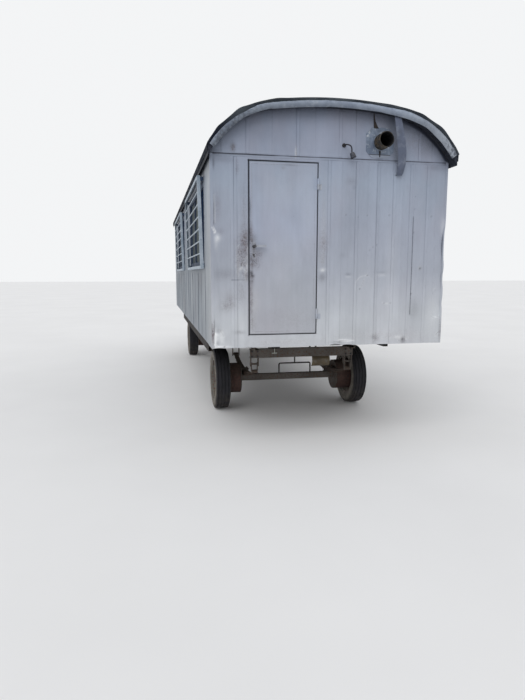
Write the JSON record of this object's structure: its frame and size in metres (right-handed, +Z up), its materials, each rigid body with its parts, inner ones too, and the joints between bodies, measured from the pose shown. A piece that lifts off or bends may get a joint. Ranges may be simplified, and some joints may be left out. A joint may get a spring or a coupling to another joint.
{
  "type": "site living wagon",
  "caption": "Towed sheet-clad living wagon with a bowed roof, end door, barred side windows, stove flue, sprung axles, a steering turntable and an A-frame drawbar.",
  "frame": {"origin": "on the ground, under the middle of the whole wagon's box, flue mouth to tow eye", "axes": "+Z up, +Y towards the drawbar, +X to the right when looking at the door end from outside"},
  "size_m": [2.59, 9.5628, 3.433],
  "materials": {
    "clad_wall": "aluminium-painted sheet on timber",
    "timber": "weathered boards",
    "felt": "bitumen felt",
    "galvanised": "galvanised sheet, dull",
    "sash_paint": "old blue-green paint",
    "pane": "dirty glass",
    "grille_paint": "silver paint, worn",
    "fittings": "tarnished",
    "rusty_pipe": "rusty stove pipe",
    "chassis_steel": "dusty, partly rusted",
    "spring_steel": "rusty leaves",
    "drum_iron": "red-brown rust",
    "rim_paint": "faded grey paint",
    "tyre_rubber": "dusty rubber"
  },
  "bodies": {
    "wagon": {"bent_plate": "galvanised", "chassis_rails": "chassis_steel", "chassis_ties": "chassis_steel", "door_frame": "timber", "door_hinges": "grille_paint", "floor": "timber", "floor_bearers": "timber", "flue_pipe": "rusty_pipe", "flue_plate": "galvanised", "front_fascia": "galvanised", "front_wall": "clad_wall", "lamp_bracket": "fittings", "left_wall": "clad_wall", "left_window_grilles": "grille_paint", "left_window_panes": "pane", "left_window_sashes": "sash_paint", "loose_strip": "galvanised", "middle_spring_beam": "chassis_steel", "rear_axle": "chassis_steel", "rear_fascia": "galvanised", "rear_gable": "clad_wall", "rear_shackles": "chassis_steel", "rear_spring_beam": "chassis_steel", "rear_springs": "spring_steel", "rear_wall": "clad_wall", "right_wall": "clad_wall", "right_window_grilles": "grille_paint", "right_window_panes": "pane", "right_window_sashes": "sash_paint", "roof": "timber", "roof_felt": "felt", "side_rails": "chassis_steel", "stirrup": "chassis_steel", "upper_ring": "chassis_steel"},
    "door": {"door_leaf": "clad_wall", "door_handle": "fittings"},
    "turntable": {"lower_ring": "chassis_steel", "bogie_frame": "chassis_steel", "front_shackles": "chassis_steel", "front_springs": "spring_steel", "front_axle": "chassis_steel"},
    "drawbar": {"drawbar_frame": "chassis_steel", "tow_eye": "chassis_steel"},
    "rear_left_rolling": {"rear_left_tyre": "tyre_rubber", "rear_left_wheel": "rim_paint", "rear_left_hub": "drum_iron"},
    "rear_right_rolling": {"rear_right_tyre": "tyre_rubber", "rear_right_wheel": "rim_paint", "rear_right_hub": "drum_iron"},
    "front_left_rolling": {"front_left_tyre": "tyre_rubber", "front_left_wheel": "rim_paint", "front_left_hub": "drum_iron"},
    "front_right_rolling": {"front_right_tyre": "tyre_rubber", "front_right_wheel": "rim_paint", "front_right_hub": "drum_iron"}
  },
  "joints": [
    {"name": "door_swing", "type": "hinge", "parent": "wagon", "child": "door", "pos_m": [-0.1645, -4.62139, 2.0255], "axis": [0, 0, 1], "range_deg": [0, 110]},
    {"name": "turntable_steer", "type": "hinge", "parent": "wagon", "child": "turntable", "pos_m": [0, 2.22861, 0.8645], "axis": [0, 0, 1], "range_deg": [-80, 80]},
    {"name": "drawbar_lift", "type": "hinge", "parent": "turntable", "child": "drawbar", "pos_m": [0, 2.94861, 0.7], "axis": [1, 0, 0], "range_deg": [0, 30]},
    {"name": "rear_left_roll", "type": "hinge", "parent": "wagon", "child": "rear_left_rolling", "pos_m": [-0.925, -2.74139, 0.4], "axis": [1, 0, 0], "continuous": true},
    {"name": "rear_right_roll", "type": "hinge", "parent": "wagon", "child": "rear_right_rolling", "pos_m": [0.925, -2.74139, 0.4], "axis": [1, 0, 0], "continuous": true},
    {"name": "front_left_roll", "type": "hinge", "parent": "turntable", "child": "front_left_rolling", "pos_m": [-0.925, 2.22861, 0.4], "axis": [1, 0, 0], "continuous": true},
    {"name": "front_right_roll", "type": "hinge", "parent": "turntable", "child": "front_right_rolling", "pos_m": [0.925, 2.22861, 0.4], "axis": [1, 0, 0], "continuous": true}
  ]
}
